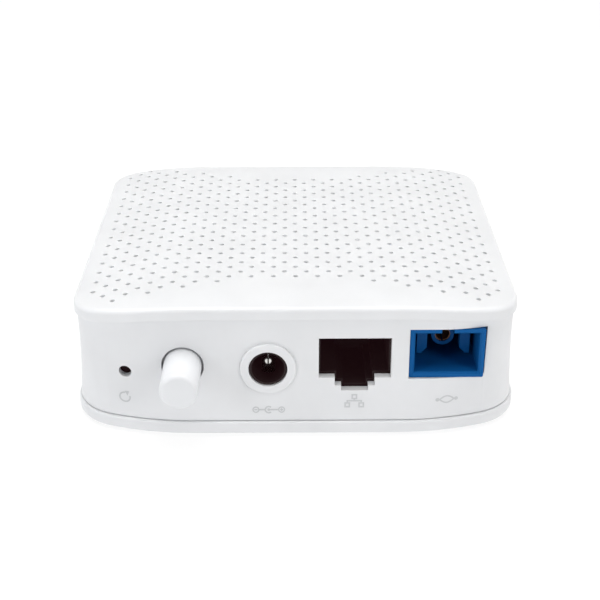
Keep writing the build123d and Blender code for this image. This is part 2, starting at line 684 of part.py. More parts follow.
# ---------------------------------------------------------------- optical port
ADAPTER_X, ADAPTER_Z = PON_X - 0.15, PON_Z
ADAPTER_HALF_WIDTH, ADAPTER_HALF_HEIGHT = 6.6, 4.8
ADAPTER_WALL = 0.95
ADAPTER_FRONT, ADAPTER_BACK = WALL_Y + 0.35, -13.2
CARRIER_Y = (-16.0, -14.4)
HOOK_TIP_Y = -28.6
SLEEVE_TIP_Y = -27.2
HOLDER_RADIUS = 2.05
SLEEVE_RADIUS = 1.6
FERRULE_RADIUS = 1.25
STUB_RADIUS = 0.95
STUB_TIP = -20.4            # where the plug's ferrule meets the stub


def adapter_hollow(inset):
    """Half sizes of the adapter's hollow, drawn in by inset."""
    return ADAPTER_HALF_WIDTH - ADAPTER_WALL - inset, ADAPTER_HALF_HEIGHT - ADAPTER_WALL - inset


def sc_adapter_housing():
    """Rectangular adapter shell with a keyway in its top wall and a bored rear wall."""
    half_w, half_h = ADAPTER_HALF_WIDTH, ADAPTER_HALF_HEIGHT
    shell = box(
        (ADAPTER_X - half_w, ADAPTER_X + half_w),
        (ADAPTER_FRONT, ADAPTER_BACK),
        (ADAPTER_Z - half_h, ADAPTER_Z + half_h),
    )
    shell = fillet(shell.edges().filter_by(Axis.Y), 0.3)
    in_w, in_h = adapter_hollow(0)
    rear_wall = 1.2
    shell -= box(
        (ADAPTER_X - in_w, ADAPTER_X + in_w),
        (ADAPTER_FRONT - 1, ADAPTER_BACK - rear_wall),
        (ADAPTER_Z - in_h, ADAPTER_Z + in_h),
    )
    keyway_half, keyway_length = 1.1, 9.0
    shell -= box(
        (ADAPTER_X - keyway_half, ADAPTER_X + keyway_half),
        (ADAPTER_FRONT - 1, ADAPTER_FRONT + keyway_length),
        (ADAPTER_Z, ADAPTER_Z + half_h + 1),
    )
    # the mouth is bevelled inside
    bevel = 0.35
    mouth = Plane((ADAPTER_X, ADAPTER_FRONT, ADAPTER_Z), (1, 0, 0), (0, 1, 0))
    outer = mouth * Rectangle(2 * (in_w + bevel), 2 * (in_h + bevel))
    inner = mouth.offset(bevel) * Rectangle(2 * in_w, 2 * in_h)
    shell -= loft([outer, inner])
    rear_bore = (ADAPTER_BACK - rear_wall - 1, ADAPTER_BACK + 1)
    return shell - rod_y(ADAPTER_X, ADAPTER_Z, *rear_bore, FERRULE_RADIUS + 0.2)


def sc_hook_carrier():
    """Insert with two latch hooks and the sleeve holder on one plate."""
    plate_w, plate_h = adapter_hollow(0.1)
    plate = box(
        (ADAPTER_X - plate_w, ADAPTER_X + plate_w), CARRIER_Y, (ADAPTER_Z - plate_h, ADAPTER_Z + plate_h)
    )
    hook_inner, hook_outer, hook_half_height, cut = 2.95, 4.75, 3.0, 1.1
    pieces = [plate]
    for side in (-1, 1):
        outline_points = [
            (side * hook_outer, -hook_half_height),
            (side * hook_outer, hook_half_height),
            (side * (hook_inner + cut), hook_half_height),
            (side * hook_inner, hook_half_height - cut),
            (side * hook_inner, cut - hook_half_height),
            (side * (hook_inner + cut), -hook_half_height),
        ]
        face = Plane((ADAPTER_X, HOOK_TIP_Y, ADAPTER_Z), (1, 0, 0), (0, -1, 0)) * make_face(
            Polyline(*outline_points, close=True)
        )
        barb = extrude(face, -2.2)
        arm = box(
            sorted((ADAPTER_X + side * (hook_outer - 0.9), ADAPTER_X + side * hook_outer)),
            (HOOK_TIP_Y, CARRIER_Y[0] + 0.5),
            (ADAPTER_Z - hook_half_height, ADAPTER_Z + hook_half_height),
        )
        pieces += [barb, arm]
    holder = rod_y(ADAPTER_X, ADAPTER_Z, SLEEVE_TIP_Y, CARRIER_Y[0] + 0.5, HOLDER_RADIUS)
    pieces.append(holder)
    carrier = fuse(pieces)
    carrier -= rod_y(ADAPTER_X, ADAPTER_Z, SLEEVE_TIP_Y + 0.3, CARRIER_Y[1] + 1, SLEEVE_RADIUS + 0.02)
    return carrier - rod_y(ADAPTER_X, ADAPTER_Z, SLEEVE_TIP_Y - 1, SLEEVE_TIP_Y + 1, FERRULE_RADIUS + 0.15)


def alignment_sleeve():
    """Split ceramic sleeve for the plug's ferrule, slightly narrower behind where it grips the stub."""
    span = (SLEEVE_TIP_Y + 0.35, CARRIER_Y[1])
    tube = rod_y(ADAPTER_X, ADAPTER_Z, *span, SLEEVE_RADIUS)
    tube -= rod_y(ADAPTER_X, ADAPTER_Z, span[0], STUB_TIP, FERRULE_RADIUS)
    tube -= rod_y(ADAPTER_X, ADAPTER_Z, STUB_TIP, span[1], STUB_RADIUS + 0.01)
    split = 0.15
    return tube - box((ADAPTER_X - split, ADAPTER_X + split), span, (ADAPTER_Z - 3, ADAPTER_Z))


BARREL_Y = (ADAPTER_BACK, -9.0)
BLOCK_Y = (-9.0, -1.6)
BLOCK_HALF = 3.2
LASER_FACE_Y = BLOCK_Y[1]
CAN_RADIUS = 2.3
CAN_LENGTH = 3.6
RECEIVER_Y = -5.0
CAN_PIN_RADIUS = 0.22


def fibre_stub():
    """Ceramic stub that meets the plug's ferrule inside the sleeve."""
    return rod_y(ADAPTER_X, ADAPTER_Z, STUB_TIP, ADAPTER_BACK, STUB_RADIUS)


def transceiver_barrel():
    """Turned barrel and cube of the two-way optical transceiver."""
    flange = rod_y(ADAPTER_X, ADAPTER_Z, BARREL_Y[0], BARREL_Y[0] + 1.0, 3.4)
    barrel = rod_y(ADAPTER_X, ADAPTER_Z, *BARREL_Y, 2.6)
    block = square_bar(ADAPTER_X, ADAPTER_Z, BLOCK_Y, BLOCK_HALF)
    return flange + barrel + fillet(block.edges().filter_by(Axis.Y), 0.4)


def can_along_y(x, z, y_face):
    """A flanged metal can seated on a face across Y."""
    flange = rod_y(x, z, y_face, y_face + 1.0, CAN_RADIUS + 0.4)
    return flange + rod_y(x, z, y_face, y_face + CAN_LENGTH, CAN_RADIUS)


def laser_can():
    """Laser can on the end of the transceiver."""
    return can_along_y(ADAPTER_X, ADAPTER_Z, LASER_FACE_Y)


def receiver_can():
    """Receiver can on the side of the transceiver."""
    return Pos(ADAPTER_X - BLOCK_HALF, RECEIVER_Y, ADAPTER_Z) * Rot(0, 0, 90) * can_along_y(0, 0, 0)


def can_lead(x, y, dx, dy):
    """A lead that leaves a can, turns down and ends in the board."""
    turn = 1.6
    route = [
        (x, y, ADAPTER_Z),
        (x + dx * turn, y + dy * turn, ADAPTER_Z),
        (x + dx * turn, y + dy * turn, BOARD_TOP),
    ]
    return bent_wire(route, CAN_PIN_RADIUS)


def transceiver_leads():
    """Bent leads of both cans."""
    spread = 1.1
    leads = []
    for step in (-1, 0, 1):
        leads.append(can_lead(ADAPTER_X + step * spread, LASER_FACE_Y + CAN_LENGTH, 0, 1))
        leads.append(can_lead(ADAPTER_X - BLOCK_HALF - CAN_LENGTH, RECEIVER_Y + step * spread, -1, 0))
    return Compound(leads)


def transceiver_saddle():
    """Moulded saddle that carries the adapter and the transceiver above the board."""
    under = ADAPTER_Z - ADAPTER_HALF_HEIGHT
    rear = box(
        (ADAPTER_X - BLOCK_HALF, ADAPTER_X + BLOCK_HALF), BLOCK_Y, (BOARD_TOP, ADAPTER_Z - BLOCK_HALF)
    )
    front = box((ADAPTER_X - 6.0, ADAPTER_X + 6.0), (-28.0, -15.0), (BOARD_TOP, under))
    window = box((ADAPTER_X - 4.8, ADAPTER_X + 4.8), (-29.0, -14.0), (BOARD_TOP + 1.2, under - 1.2))
    bridge = box((ADAPTER_X - 2, ADAPTER_X + 2), (-15.0, BLOCK_Y[0]), (BOARD_TOP, BOARD_TOP + 1.2))
    return front - window + rear + bridge


# ---------------------------------------------------------------- board and its components
def main_board():
    """Circuit board: the case outline drawn in, notched for the bosses and drilled for screws and pins."""
    board = prism(WALL_FOOT_PLAN, BOARD_BOTTOM, BOARD_TOP, BOARD_INSET)
    low, high = BOARD_BOTTOM - 1, BOARD_TOP + 1
    cuts = [rod_z(x, y, low, high, 3.9) for x, y in CASE_SCREWS]
    cuts += [box(sorted((x, x * 1.2)), (y - 3.9, y + 3.9), (low, high)) for x, y in CASE_SCREWS]
    cuts += [rod_z(x, y, low, high, BOARD_SCREW_RADIUS + 0.15) for x, y in BOARD_SCREWS]
    cuts += [rod_z(x, y, low, high, PEG_RADIUS + PIN_PLAY) for x, y in LAN_PEGS]
    cuts += [rod_z(x, -14.95, low, high, CONTACT_RADIUS + PIN_PLAY) for x in LAN_XS]
    for points, half_x, half_y in ((SWITCH_PINS, 0.4, 0.15), (RESET_PINS, 0.3, 0.15), (JACK_LUGS, 0.9, 0.25)):
        for x, y in points:
            hole_x, hole_y = half_x + PIN_PLAY, half_y + PIN_PLAY
            cuts.append(box((x - hole_x, x + hole_x), (y - hole_y, y + hole_y), (low, high)))
    return board.cut(*cuts)


CHIP_LIFT = 0.1
PROCESSOR = (2.0, 10.0, 14.0, 14.0, 1.2)        # x, y, width, depth, height
MEMORY = (-14.5, 10.0, 8.0, 11.0, 1.0)
FLASH = (-14.5, 22.0, 5.2, 5.2, 1.6)
LASER_DRIVER = (22.0, 13.0, 5.0, 5.0, 0.9)
CONVERTER = (-12.3, -9.2, 4.0, 4.9, 1.4)
TRANSFORMER = (10.6, -6.0, 12.6, 6.8, 3.2)


def chip(spec):
    """A moulded chip body with a pin-one mark in its corner."""
    x, y, width, depth, height = spec
    upper_z = CHIP_LIFT + height
    body = box((x - width / 2, x + width / 2), (y - depth / 2, y + depth / 2), (CHIP_LIFT, upper_z))
    upper = [edge for edge in body.edges() if abs(edge.center().Z - upper_z) < 0.01]
    body = chamfer(upper, 0.12)
    inset = min(width, depth) * 0.16
    mark = rod_z(x - width / 2 + inset, y + depth / 2 - inset, upper_z - 0.05, upper_z + 1, 0.3)
    return Pos(0, 0, BOARD_TOP) * (body - mark)


def side_leads(spec, pitch, along_x):
    """Gull leads along two opposite sides of a chip."""
    x, y, width, depth, height = spec
    half, reach = (depth / 2, width) if along_x else (width / 2, depth)
    count = int((reach - 0.8) / pitch) + 1
    foot, thick, half_width = 0.9, 0.15, pitch * 0.2
    leads = []
    for side in (-1, 1):
        for i in range(count):
            at = (i - (count - 1) / 2) * pitch
            out = sorted((side * half, side * (half + foot)))
            shoulder = sorted((side * half, side * (half + foot / 2)))
            across = (at - half_width, at + half_width)
            low, rise = (0, thick), (0, CHIP_LIFT + height * 0.45)
            wall = sorted((side * (half + foot / 2 - thick), side * (half + foot / 2)))
            top = (rise[1] - thick, rise[1])
            if along_x:
                lead = box(across, out, low) + box(across, wall, rise) + box(across, shoulder, top)
            else:
                lead = box(out, across, low) + box(wall, across, rise) + box(shoulder, across, top)
            leads.append(Pos(x, y, BOARD_TOP) * lead)
    return leads


def processor():
    """PON processor."""
    return chip(PROCESSOR)


def memory():
    """Working memory."""
    return chip(MEMORY)


def flash():
    """Flash memory."""
    return chip(FLASH)


def laser_driver():
    """Laser driver."""
    return chip(LASER_DRIVER)


def power_converter():
    """Step-down converter."""
    return chip(CONVERTER)


def lan_transformer():
    """Line transformer of the LAN port."""
    return chip(TRANSFORMER)


def chip_leads():
    """Gull leads of the flash, the converter and the transformer."""
    leads = side_leads(FLASH, 1.27, True) + side_leads(CONVERTER, 1.27, False)
    return Compound(leads + side_leads(TRANSFORMER, 1.27, True))


def pad_z():
    """Lower and upper face of the thermal pad."""
    low = BOARD_TOP + CHIP_LIFT + PROCESSOR[4]
    return low, low + 0.5


def thermal_pad():
    """Soft pad between the processor and the heat sink."""
    x, y = PROCESSOR[:2]
    half = 6.5
    return box((x - half, x + half), (y - half, y + half), pad_z())


def heat_sink():
    """Aluminium plate with straight fins."""
    x, y = PROCESSOR[:2]
    half, plate, fin, height, count = 9.0, 1.4, 0.8, 6.0, 8
    low = pad_z()[1]
    sink = box((x - half, x + half), (y - half, y + half), (low, low + plate))
    fins = []
    for i in range(count):
        middle = x - half + fin / 2 + i * (2 * half - fin) / (count - 1)
        fins.append(box((middle - fin / 2, middle + fin / 2), (y - half, y + half), (low, low + height)))
    return fuse([sink] + fins)


def shield_can():
    """Pressed shield over the laser driver."""
    x, y = LASER_DRIVER[:2]
    half, height, thick = 5.5, 2.4, 0.2
    outer = box((x - half, x + half), (y - half, y + half), (BOARD_TOP, BOARD_TOP + height))
    outer = fillet(outer.edges().filter_by(Axis.Z), 0.5)
    inner = half - thick
    return outer - box((x - inner, x + inner), (y - inner, y + inner), (0, BOARD_TOP + height - thick))


COILS = [(-12.3, -16.4), (-4.8, -14.6)]
CANS = [(-32.6, -16.3, 2.9, 7.4), (-12.2, -22.8, 2.5, 7.0), (-22.6, -6.0, 3.15, 8.0)]


def inductors():
    """Two moulded power inductors."""
    half, height = 2.5, 2.8
    coils = []
    for x, y in COILS:
        body = box((x - half, x + half), (y - half, y + half), (BOARD_TOP, BOARD_TOP + height))
        coils.append(fillet(body.edges().filter_by(Axis.Z), 0.6))
    return Compound(coils)


def electrolytic_cans():
    """Aluminium cans of the smoothing capacitors, each with a rolled groove."""
    cans = []
    for x, y, radius, height in CANS:
        low = BOARD_TOP + 0.9
        can = rod_z(x, y, low, low + height, radius)
        can = fillet([edge for edge in can.edges() if abs(edge.center().Z - low - height) < 0.01], 0.4)
        groove = Pos(x, y, low + 1.6) * Torus(radius + 0.1, 0.3)
        cans.append(can - groove)
    return Compound(cans)


def capacitor_bases():
    """Moulded feet of the smoothing capacitors, two corners cut to mark polarity."""
    bases = []
    for x, y, radius, _ in CANS:
        half = radius + 0.15
        block = box((x - half, x + half), (y - half, y + half), (BOARD_TOP, BOARD_TOP + 0.9))
        marked = [edge for edge in block.edges().filter_by(Axis.Z) if edge.center().X < x]
        bases.append(chamfer(marked, radius * 0.35))
    return Compound(bases)


def chip_row(x, y, count, pitch, size):
    """A row of small two-ended parts along X."""
    width, depth, height = (value / 2 for value in size)
    return [
        box((at - width, at + width), (y - depth, y + depth), (BOARD_TOP, BOARD_TOP + 2 * height))
        for at in (x + i * pitch for i in range(count))
    ]


def ceramic_capacitors():
    """Rows of ceramic chip capacitors."""
    size = (0.8, 1.6, 0.8)
    rows = [(-6.5, -2.2, 7, 1.7), (16.0, 21.5, 4, 2.0), (-22.0, 2.5, 3, 1.8), (-7.0, 22.5, 6, 2.4)]
    return Compound([part for row in rows for part in chip_row(*row, size)])


def chip_resistors():
    """Rows of chip resistors."""
    size = (0.8, 1.6, 0.45)
    rows = [(-32.0, -2.0, 4, 1.6), (-33.0, 22.0, 3, 1.6), (-22.0, -1.0, 2, 1.6)]
    rows += [(x + 2.2, LED_Y - 0.6, 1, 1.6) for x in LED_XS]
    return Compound([part for row in rows for part in chip_row(*row, size)])


def crystal():
    """Metal-cased crystal."""
    height = 2.6
    foot = Pos(18.6, 26.4, BOARD_TOP)
    can = foot * extrude(SlotOverall(9.0, 3.8), height)
    upper = [edge for edge in can.edges() if abs(edge.center().Z - BOARD_TOP - height) < 0.01]
    return fillet(upper, 0.4) + foot * extrude(SlotOverall(10.2, 4.6), 0.4)


def status_leds():
    """Four indicator LEDs at the far edge of the board."""
    half_x, half_y = 0.8, 0.5
    depth = (LED_Y - half_y, LED_Y + half_y)
    return Compound([box((x - half_x, x + half_x), depth, (BOARD_TOP, LED_TOP)) for x in LED_XS])


def light_guide():
    """Clear guide: a column over each LED, a pin into each window and a bar that joins them."""
    half = 0.9
    gap = 0.2
    column_top = WINDOW_Z + half
    pieces = []
    for x in LED_XS:
        pieces.append(box((x - half, x + half), (LED_Y - half, LED_Y + half), (LED_TOP + gap, column_top)))
        pin = rod_y(x, WINDOW_Z, LED_Y, -WALL_Y + 0.05, WINDOW_RADIUS - 0.15)
        tip = [edge for edge in pin.edges() if edge.center().Y > -WALL_Y]
        pieces.append(fillet(tip, 0.3))
    bar = box((LED_XS[0], LED_XS[-1]), (LED_Y - half, LED_Y + half), (WINDOW_Z - 3.0, WINDOW_Z - 1.6))
    return fuse(pieces + [bar])


# ---------------------------------------------------------------- every node of the terminal
NODES = [
    top_cover,
    housing,
    base,
    case_screws,
    board_screws,
    rubber_feet,
    rating_label,
    power_button_cap,
    power_switch_plunger,
    power_switch_body,
    power_switch_spring,
    power_switch_pins,
    reset_switch_body,
    reset_switch_cover,
    reset_plunger,
    reset_dome,
    reset_switch_pins,
    power_jack_body,
    power_jack_pin,
    power_jack_spring,
    power_jack_lugs,
    lan_jack_housing,
    lan_jack_contacts,
    lan_jack_pegs,
    sc_adapter_housing,
    sc_hook_carrier,
    alignment_sleeve,
    fibre_stub,
    transceiver_barrel,
    laser_can,
    receiver_can,
    transceiver_leads,
    transceiver_saddle,
    main_board,
    processor,
    memory,
    flash,
    laser_driver,
    power_converter,
    lan_transformer,
    chip_leads,
    thermal_pad,
    heat_sink,
    shield_can,
    inductors,
    electrolytic_cans,
    capacitor_bases,
    ceramic_capacitors,
    chip_resistors,
    crystal,
    status_leds,
    light_guide,
]

for node in NODES:
    save(node.__name__, node())
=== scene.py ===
"""Looks of a small optical network terminal: materials, printed symbols, studio light and camera."""

import json
import math

import bmesh
import bpy
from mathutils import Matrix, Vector
from mathutils.bvhtree import BVHTree


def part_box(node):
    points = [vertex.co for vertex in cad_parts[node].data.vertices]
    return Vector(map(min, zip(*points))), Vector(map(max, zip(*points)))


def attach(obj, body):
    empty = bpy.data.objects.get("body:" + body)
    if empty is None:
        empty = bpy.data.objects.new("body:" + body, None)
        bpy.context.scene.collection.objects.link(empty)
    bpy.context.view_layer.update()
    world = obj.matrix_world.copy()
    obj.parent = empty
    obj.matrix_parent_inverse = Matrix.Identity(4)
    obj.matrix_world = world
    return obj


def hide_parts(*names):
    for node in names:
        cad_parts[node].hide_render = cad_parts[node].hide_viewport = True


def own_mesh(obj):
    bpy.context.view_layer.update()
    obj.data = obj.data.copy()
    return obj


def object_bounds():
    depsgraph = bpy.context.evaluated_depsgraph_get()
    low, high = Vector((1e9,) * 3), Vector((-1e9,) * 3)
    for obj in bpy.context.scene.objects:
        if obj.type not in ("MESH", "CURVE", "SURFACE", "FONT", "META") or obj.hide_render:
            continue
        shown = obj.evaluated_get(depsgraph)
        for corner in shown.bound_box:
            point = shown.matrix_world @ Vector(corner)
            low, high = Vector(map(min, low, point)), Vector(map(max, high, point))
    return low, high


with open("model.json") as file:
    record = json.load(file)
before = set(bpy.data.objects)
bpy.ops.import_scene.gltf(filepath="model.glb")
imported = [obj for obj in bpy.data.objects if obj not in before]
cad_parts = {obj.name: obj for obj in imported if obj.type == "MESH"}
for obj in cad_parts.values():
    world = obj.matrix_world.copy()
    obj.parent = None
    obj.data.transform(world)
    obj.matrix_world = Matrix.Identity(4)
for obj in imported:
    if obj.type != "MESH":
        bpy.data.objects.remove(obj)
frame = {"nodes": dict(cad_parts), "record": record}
nodes = frame["nodes"]
cad_low, cad_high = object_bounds()
MM = 0.001
middle = (cad_low + cad_high) / 2


# ---------------------------------------------------------------- camera
LENS = 71.5
SENSOR = 36.0
CAMERA_ASIDE = -0.434 * MM      # from the middle of the case
CAMERA_BACK = -212.79 * MM      # from the middle of the case
CAMERA_HEIGHT = 119.2 * MM      # above the floor
CAMERA_TURN = (63.16, 0.07, -0.40)      # degrees about X, Y and Z


def make_camera():
    """Camera above the port side, looking slightly down at the case."""
    data = bpy.data.cameras.new("camera")
    data.lens = LENS
    data.sensor_width = SENSOR
    data.clip_start, data.clip_end = 0.01, 20.0
    camera = bpy.data.objects.new("camera", data)
    camera.location = (middle.x + CAMERA_ASIDE, middle.y + CAMERA_BACK, CAMERA_HEIGHT)
    camera.rotation_euler = [math.radians(angle) for angle in CAMERA_TURN]
    bpy.context.scene.collection.objects.link(camera)
    bpy.context.scene.camera = camera


# ---------------------------------------------------------------- material building
BEVEL_SAMPLES = 6


class Look:
    """A material in the making: one Principled shader and the procedural nodes that feed it."""

    def __init__(self, name, color, roughness, metallic=0.0, **sockets):
        self.material = bpy.data.materials.new(name)
        self.material.use_nodes = True
        self.tree = self.material.node_tree
        self.shader = self.tree.nodes["Principled BSDF"]
        self.place = self.add("ShaderNodeTexCoord").outputs["Object"]
        self.color = color
        self.roughness = roughness
        self.shader.inputs["Base Color"].default_value = (*color, 1.0)
        self.shader.inputs["Roughness"].default_value = roughness
        self.shader.inputs["Metallic"].default_value = metallic
        for socket, value in sockets.items():
            self.shader.inputs[socket.replace("_", " ")].default_value = value
        self.normal = None

    def add(self, kind, **settings):
        """A new node with its settings."""
        node = self.tree.nodes.new(kind)
        for key, value in settings.items():
            setattr(node, key, value)
        return node

    def link(self, source, target):
        """Joins an output to an input."""
        self.tree.links.new(source, target)

    def math(self, operation, first, second=0.0, clamp=False):
        """A Math node; either operand may be an output or a number."""
        node = self.add("ShaderNodeMath", operation=operation, use_clamp=clamp)
        for socket, value in zip(node.inputs, (first, second)):
            if isinstance(value, (int, float)):
                socket.default_value = value
            else:
                self.link(value, socket)
        return node.outputs[0]

    def stretched(self, scale):
        """Object coordinates scaled unevenly, for brushed or drawn-out grain."""
        node = self.add("ShaderNodeMapping")
        node.inputs["Scale"].default_value = scale
        self.link(self.place, node.inputs["Vector"])
        return node.outputs[0]

    def noise(self, size, detail=2.0, roughness=0.5, stretch=None):
        """Noise with features about size metres across, 0 to 1."""
        node = self.add("ShaderNodeTexNoise")
        node.inputs["Scale"].default_value = 1.0 / size
        node.inputs["Detail"].default_value = detail
        node.inputs["Roughness"].default_value = roughness
        self.link(self.stretched(stretch) if stretch else self.place, node.inputs["Vector"])
        return node.outputs["Fac"]

    def cells(self, size):
        """Distance to the nearest of scattered points about size metres apart."""
        node = self.add("ShaderNodeTexVoronoi")
        node.inputs["Scale"].default_value = 1.0 / size
        self.link(self.place, node.inputs["Vector"])
        return node.outputs["Distance"]

    def remap(self, value, low, high, to_low, to_high):
        """A value mapped from one span to another, clamped."""
        node = self.add("ShaderNodeMapRange")
        for socket, number in zip(list(node.inputs)[1:5], (low, high, to_low, to_high)):
            socket.default_value = number
        self.link(value, node.inputs["Value"])
        return node.outputs["Result"]

    def tint(self, factor, color, base=None):
        """Mixes the base colour towards another where factor is high."""
        node = self.add("ShaderNodeMix", data_type="RGBA")
        color_sockets = [socket for socket in node.inputs if socket.type == "RGBA"]
        if base is None:
            color_sockets[0].default_value = (*self.color, 1.0)
        else:
            self.link(base, color_sockets[0])
        color_sockets[1].default_value = (*color, 1.0)
        self.link(factor, node.inputs["Factor"])
        result = next(socket for socket in node.outputs if socket.type == "RGBA")
        self.link(result, self.shader.inputs["Base Color"])
        return result

    def vary_roughness(self, factor, spread):
        """Roughness that wanders by spread either side of its middle."""
        low, high = self.roughness - spread, self.roughness + spread
        self.link(self.remap(factor, 0.25, 0.75, low, high), self.shader.inputs["Roughness"])

    def soften(self, radius):
        """Rounds every edge's shading by a small radius."""
        node = self.add("ShaderNodeBevel", samples=BEVEL_SAMPLES)
        node.inputs["Radius"].default_value = radius
        self.normal = node.outputs["Normal"]
        self.link(self.normal, self.shader.inputs["Normal"])
        return self

    def bump(self, height, depth, strength=1.0):
        """Relief of a given depth in metres, added over the last one."""
        node = self.add("ShaderNodeBump")
        node.inputs["Strength"].default_value = strength
        node.inputs["Distance"].default_value = depth
        self.link(height, node.inputs["Height"])
        if self.normal:
            self.link(self.normal, node.inputs["Normal"])
        self.normal = node.outputs["Normal"]
        self.link(self.normal, self.shader.inputs["Normal"])
        return self

    def edges(self, radius):
        """1 along sharp edges, 0 on open faces: how far a rounded normal leans from the real one."""
        rounded = self.add("ShaderNodeBevel", samples=BEVEL_SAMPLES)
        rounded.inputs["Radius"].default_value = radius
        real = self.add("ShaderNodeNewGeometry").outputs["Normal"]
        node = self.add("ShaderNodeVectorMath", operation="DOT_PRODUCT")
        self.link(rounded.outputs["Normal"], node.inputs[0])
        self.link(real, node.inputs[1])
        return self.remap(node.outputs["Value"], 0.98, 0.75, 0.0, 1.0)


def moulded(
    name, color, roughness, edge_highlight, grain=0.22 * MM, relief=0.006 * MM, edge=0.12 * MM, **sockets
):
    """Injection-moulded plastic: spark-eroded grain, faint flow marks, mottled tone, rounded edge shading
    and a painted highlight that tints the edges lighter.
    """
    flow_size, flow_depth, flow_strength = 14 * MM, 0.012 * MM, 0.35
    mottle_size, mottle_share = 9 * MM, 0.955
    look = Look(name, color, roughness, **sockets)
    look.soften(edge)
    look.bump(look.noise(flow_size, 1.0), flow_depth, flow_strength)
    look.bump(look.noise(grain, 3.0, 0.6), relief)
    darker = tuple(channel * mottle_share for channel in color)
    base = look.tint(look.remap(look.noise(mottle_size, 3.0), 0.35, 0.75, 0.0, 1.0), darker)
    # painted highlight: the edges are tinted towards a lighter colour, standing in for light catching
    # them
    look.tint(look.math("MULTIPLY", look.edges(edge * 2), 0.5), edge_highlight, base)
    look.vary_roughness(look.noise(1.2 * MM, 4.0, 0.6), 0.05)
    return look.material


def machined(name, color, roughness, stretch=(1.0, 1.0, 1.0)):
    """Metal with fine drawn or turned lines, small stains and a painted highlight that tints its edges
    brighter.
    """
    grain, relief = 0.12 * MM, 0.002 * MM
    look = Look(name, color, roughness, metallic=1.0)
    look.soften(0.05 * MM)
    look.bump(look.noise(grain, 3.0, 0.6, stretch), relief)
    duller = tuple(channel * 0.8 for channel in color)
    base = look.tint(look.remap(look.noise(2.5 * MM, 4.0), 0.45, 0.75, 0.0, 0.8), duller)
    edge_glint = tuple(min(channel * 1.15, 1.0) for channel in color)
    # painted glint: the edges are tinted brighter, standing in for light catching them
    look.tint(look.math("MULTIPLY", look.edges(0.1 * MM), 0.6), edge_glint, base)
    look.vary_roughness(look.noise(0.8 * MM, 3.0, 0.5, stretch), 0.08)
    return look.material


# ---------------------------------------------------------------- materials, one per slot of the record
def case_white():
    """Cool white ABS of the case, satin, with a fine even grain."""
    # the edge colour is a painted highlight, a lighter white along the edges
    return moulded("case_white", (0.745, 0.752, 0.768), 0.42, edge_highlight=(0.80, 0.805, 0.815),
                   Subsurface_Weight=0.35, Subsurface_Scale=0.8 * MM, Subsurface_Radius=(1.0, 0.97, 0.94))


def button_white():
    """White of the push cap, a little glossier than the case."""
    # the edge colour is a painted highlight, a lighter white along the edges
    return moulded("button_white", (0.75, 0.76, 0.78), 0.34, relief=0.003 * MM,
                   edge_highlight=(0.80, 0.81, 0.825))


def jack_black():
    """Glass-filled black moulding of the jacks and switches; its faint reddish-brown emission is painted
    light, a glow that lifts the dark openings.
    """
    # the edge colour is a painted highlight, a slightly lighter black along the edges
    return moulded("jack_black", (0.016, 0.011, 0.011), 0.5, grain=0.16 * MM, relief=0.008 * MM,
                   edge=0.08 * MM, edge_highlight=(0.035, 0.03, 0.03), Specular_IOR_Level=0.18,
                   Emission_Color=(0.0075, 0.0025, 0.0032, 1.0), Emission_Strength=1.0)


def adapter_blue():
    """Saturated blue moulding of the fibre adapter."""
    # the edge colour is a painted highlight, a brighter blue along the edges
    return moulded("adapter_blue", (0.005, 0.095, 0.30), 0.36, grain=0.18 * MM, relief=0.005 * MM,
                   edge=0.08 * MM, edge_highlight=(0.007, 0.15, 0.42), Specular_IOR_Level=0.08)


def component_dark():
    """Dark grey moulded bodies of coils, saddle and resistors."""
    # the edge colour is a painted highlight, a lighter grey along the edges
    return moulded("component_dark", (0.055, 0.055, 0.06), 0.5, grain=0.12 * MM, edge=0.06 * MM,
                   edge_highlight=(0.12, 0.12, 0.125))


def component_tan():
    """Tan ceramic of the chip capacitors, mottled with a paler tan."""
    look = Look("component_tan", (0.45, 0.33, 0.22), 0.5)
    look.soften(0.06 * MM)
    look.bump(look.cells(0.15 * MM), 0.008 * MM)
    look.tint(look.remap(look.noise(0.6 * MM, 3.0), 0.4, 0.7, 0.0, 1.0), (0.55, 0.42, 0.30))
    look.vary_roughness(look.noise(0.4 * MM), 0.1)
    return look.material


def ceramic():
    """Ground zirconia of the stub."""
    look = Look("ceramic", (0.86, 0.85, 0.81), 0.22, Coat_Weight=0.3)
    look.soften(0.06 * MM)
    look.bump(look.noise(0.08 * MM, 2.0, 0.5, (1.0, 8.0, 1.0)), 0.0015 * MM)
    look.tint(look.remap(look.noise(0.9 * MM, 3.0), 0.4, 0.8, 0.0, 1.0), (0.80, 0.78, 0.72))
    look.vary_roughness(look.noise(0.5 * MM), 0.06)
    return look.material


def sleeve_bronze():
    """Dull phosphor bronze of the alignment sleeve."""
    return machined("sleeve_bronze", (0.35, 0.20, 0.13), 0.42, (1.0, 0.2, 1.0))


def contact_gold():
    """Gold plating on the spring contacts and leads."""
    return machined("contact_gold", (0.83, 0.60, 0.23), 0.24, (1.0, 0.15, 1.0))


def bright_metal():
    """Nickel-plated metal of the pin, cans, covers and barrel."""
    return machined("bright_metal", (0.74, 0.73, 0.71), 0.22, (1.0, 6.0, 1.0))


def tinned():
    """Dull tinned leads and lugs."""
    return machined("tinned", (0.60, 0.60, 0.59), 0.38)


def screw_steel():
    """Zinc-plated screws with turned heads."""
    return machined("screw_steel", (0.56, 0.56, 0.57), 0.3, (1.0, 1.0, 0.2))


def aluminium():
    """Extruded aluminium with lines along the fins."""
    return machined("aluminium", (0.72, 0.73, 0.74), 0.36, (6.0, 0.3, 6.0))


